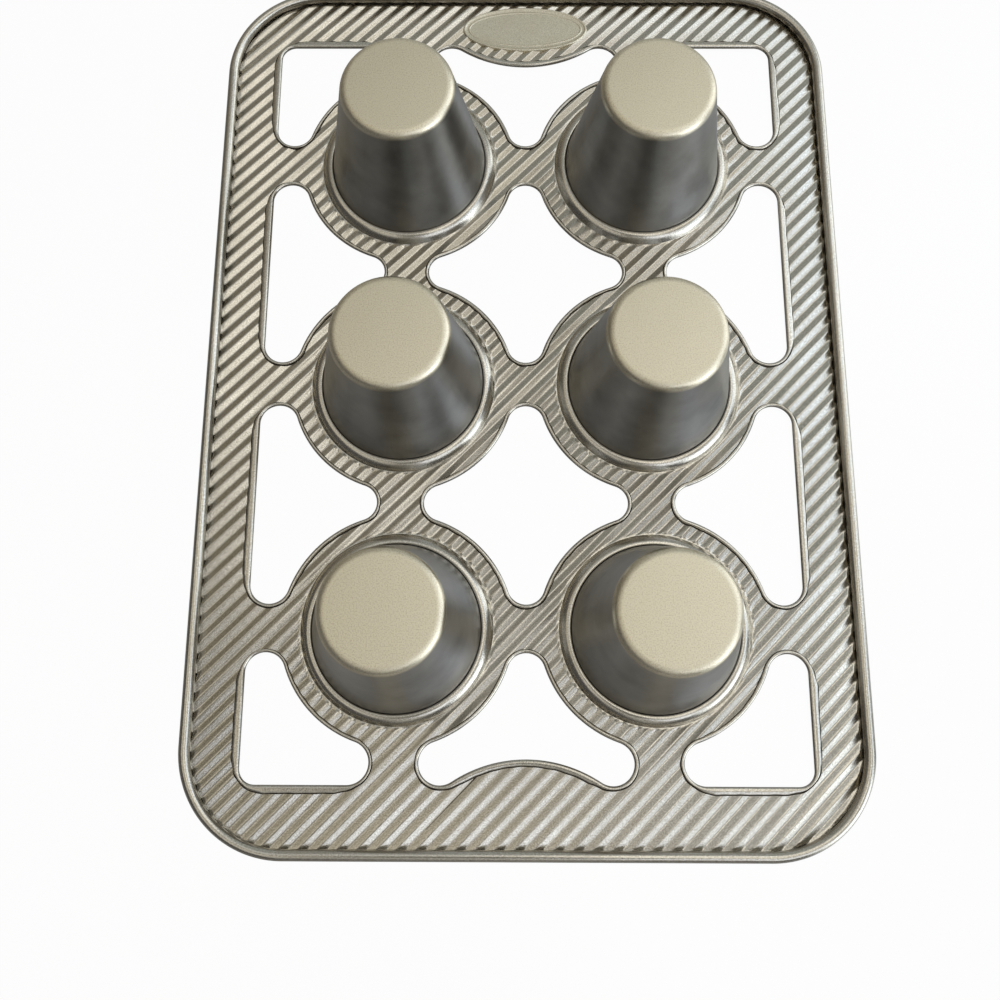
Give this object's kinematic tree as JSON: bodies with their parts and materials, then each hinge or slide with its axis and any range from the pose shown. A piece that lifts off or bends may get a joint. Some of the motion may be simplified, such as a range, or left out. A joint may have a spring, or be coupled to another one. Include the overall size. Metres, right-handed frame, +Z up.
{
  "type": "muffin pan",
  "caption": "Popover muffin pan: deep tapered steel cups with flat bottoms, crimped into a fluted, windowed steel frame with a rolled rim, lying face down.",
  "frame": {"origin": "under the middle of the pan, on the table that it lies on face down", "axes": "+X across the pan, +Y along it towards the end with the oval plaque, +Z up from the cup lips to the cup bottoms, so for baking the pan is turned half a turn about X"},
  "size_m": [0.281, 0.399, 0.0625],
  "materials": {
    "sheet_steel": "satin",
    "cup_steel": "satin",
    "wire_steel": "satin"
  },
  "bodies": {
    "root": {"frame_sheet": "sheet_steel", "rim_wire": "wire_steel", "cup_far_left": "cup_steel", "cup_far_right": "cup_steel", "cup_middle_left": "cup_steel", "cup_middle_right": "cup_steel", "cup_near_left": "cup_steel", "cup_near_right": "cup_steel"}
  },
  "joints": []
}
